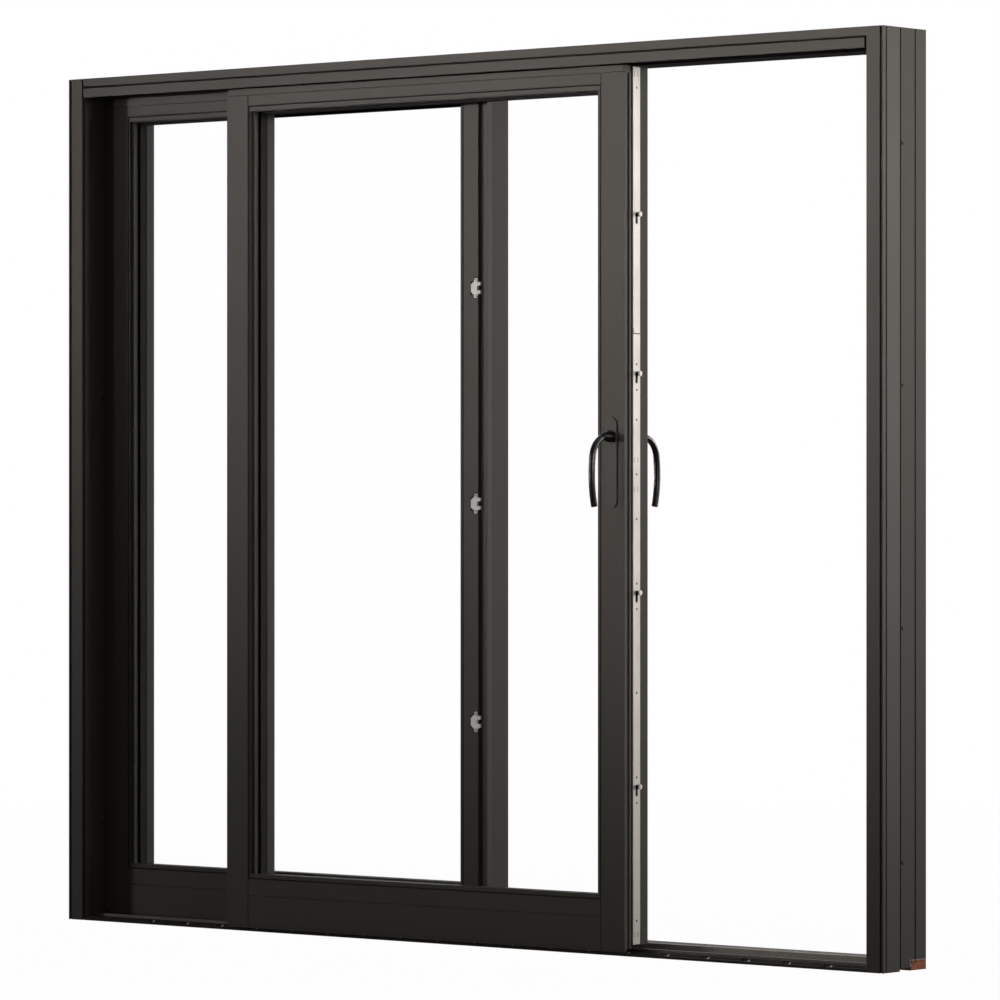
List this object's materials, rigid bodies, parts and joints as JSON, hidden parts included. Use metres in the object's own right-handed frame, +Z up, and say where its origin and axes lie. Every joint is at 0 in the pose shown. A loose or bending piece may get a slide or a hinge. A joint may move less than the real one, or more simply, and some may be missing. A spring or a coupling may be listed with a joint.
{
  "type": "glass sliding patio door",
  "caption": "Glazed sliding patio door in its frame: a fixed pane, a sliding sash on a low threshold, a lever handle on both faces and a lock with mushroom cams in the leading edge.",
  "frame": {"origin": "on the underside of the sill, at the middle of the door's width and of the frame's depth", "axes": "+X to the right as seen from outside, +Y into the house, +Z up"},
  "size_m": [2.49, 0.2575, 2.09],
  "materials": {
    "coated_aluminium": "matt grey-brown powder coat",
    "coated_timber": "matt grey-brown paint on timber",
    "clear_glass": "clear sealed glass unit",
    "seal_rubber": "black rubber seal",
    "bare_aluminium": "satin aluminium",
    "threshold_wood": "red-brown hardwood, end grain open",
    "bright_steel": "bright zinc-plated steel",
    "black_metal": "black satin",
    "roller_plastic": "dark moulded plastic"
  },
  "bodies": {
    "frame": {"fixed_bottom_cover": "coated_aluminium", "fixed_cladding_bottom": "coated_aluminium", "fixed_cladding_left": "coated_aluminium", "fixed_cladding_meeting": "coated_aluminium", "fixed_cladding_top": "coated_aluminium", "fixed_glass": "clear_glass", "fixed_glass_seal": "seal_rubber", "fixed_glazing_bead": "coated_aluminium", "fixed_rail_bottom": "coated_timber", "fixed_rail_top": "coated_timber", "fixed_stile_left": "coated_timber", "fixed_stile_meeting": "coated_timber", "fixed_top_hood": "coated_aluminium", "head": "coated_timber", "head_cladding": "coated_aluminium", "head_guide_channel": "bare_aluminium", "head_track_cover": "coated_aluminium", "jamb_cladding_left": "coated_aluminium", "jamb_cladding_right": "coated_aluminium", "jamb_left": "coated_timber", "jamb_right": "coated_timber", "keepers": "bright_steel", "meeting_interlock": "coated_aluminium", "running_rail": "bare_aluminium", "threshold_core": "threshold_wood", "threshold_sill": "coated_aluminium", "tread_plate": "bare_aluminium"},
    "sash": {"sash_bottom_cover": "coated_aluminium", "sash_cladding_bottom": "coated_aluminium", "sash_cladding_lock": "coated_aluminium", "sash_cladding_rear": "coated_aluminium", "sash_cladding_top": "coated_aluminium", "sash_glass": "clear_glass", "sash_glass_seal": "seal_rubber", "sash_glazing_bead": "coated_aluminium", "sash_interlock": "coated_aluminium", "sash_rail_bottom": "coated_timber", "sash_rail_top": "coated_timber", "sash_stile_lock": "coated_timber", "sash_stile_rear": "coated_timber", "sash_top_hood": "coated_aluminium", "roller_carriages": "roller_plastic", "guide_shoes": "roller_plastic", "lock_strip": "bright_steel", "handle_plate_outside": "black_metal", "handle_plate_inside": "black_metal"},
    "handle": {"handle_lever_outside": "black_metal", "handle_lever_inside": "black_metal", "handle_spindle": "bright_steel"},
    "lock_rod": {"lock_rod": "bright_steel"}
  },
  "joints": [
    {"name": "sash_slide", "type": "slide", "parent": "frame", "child": "sash", "axis": [1, 0, 0], "range_m": [-0.415, 0.665]},
    {"name": "handle_turn", "type": "hinge", "parent": "sash", "child": "handle", "pos_m": [0.492, -0.053, 1.188], "axis": [0, 1, 0], "range_deg": [0, 180]},
    {"name": "rod_slide", "type": "slide", "parent": "sash", "child": "lock_rod", "axis": [0, 0, 1], "range_m": [-0.018, 0]}
  ],
  "couplings": [
    {"joint": "rod_slide", "follows": "handle_turn", "m_per_rad": -0.0056977}
  ]
}
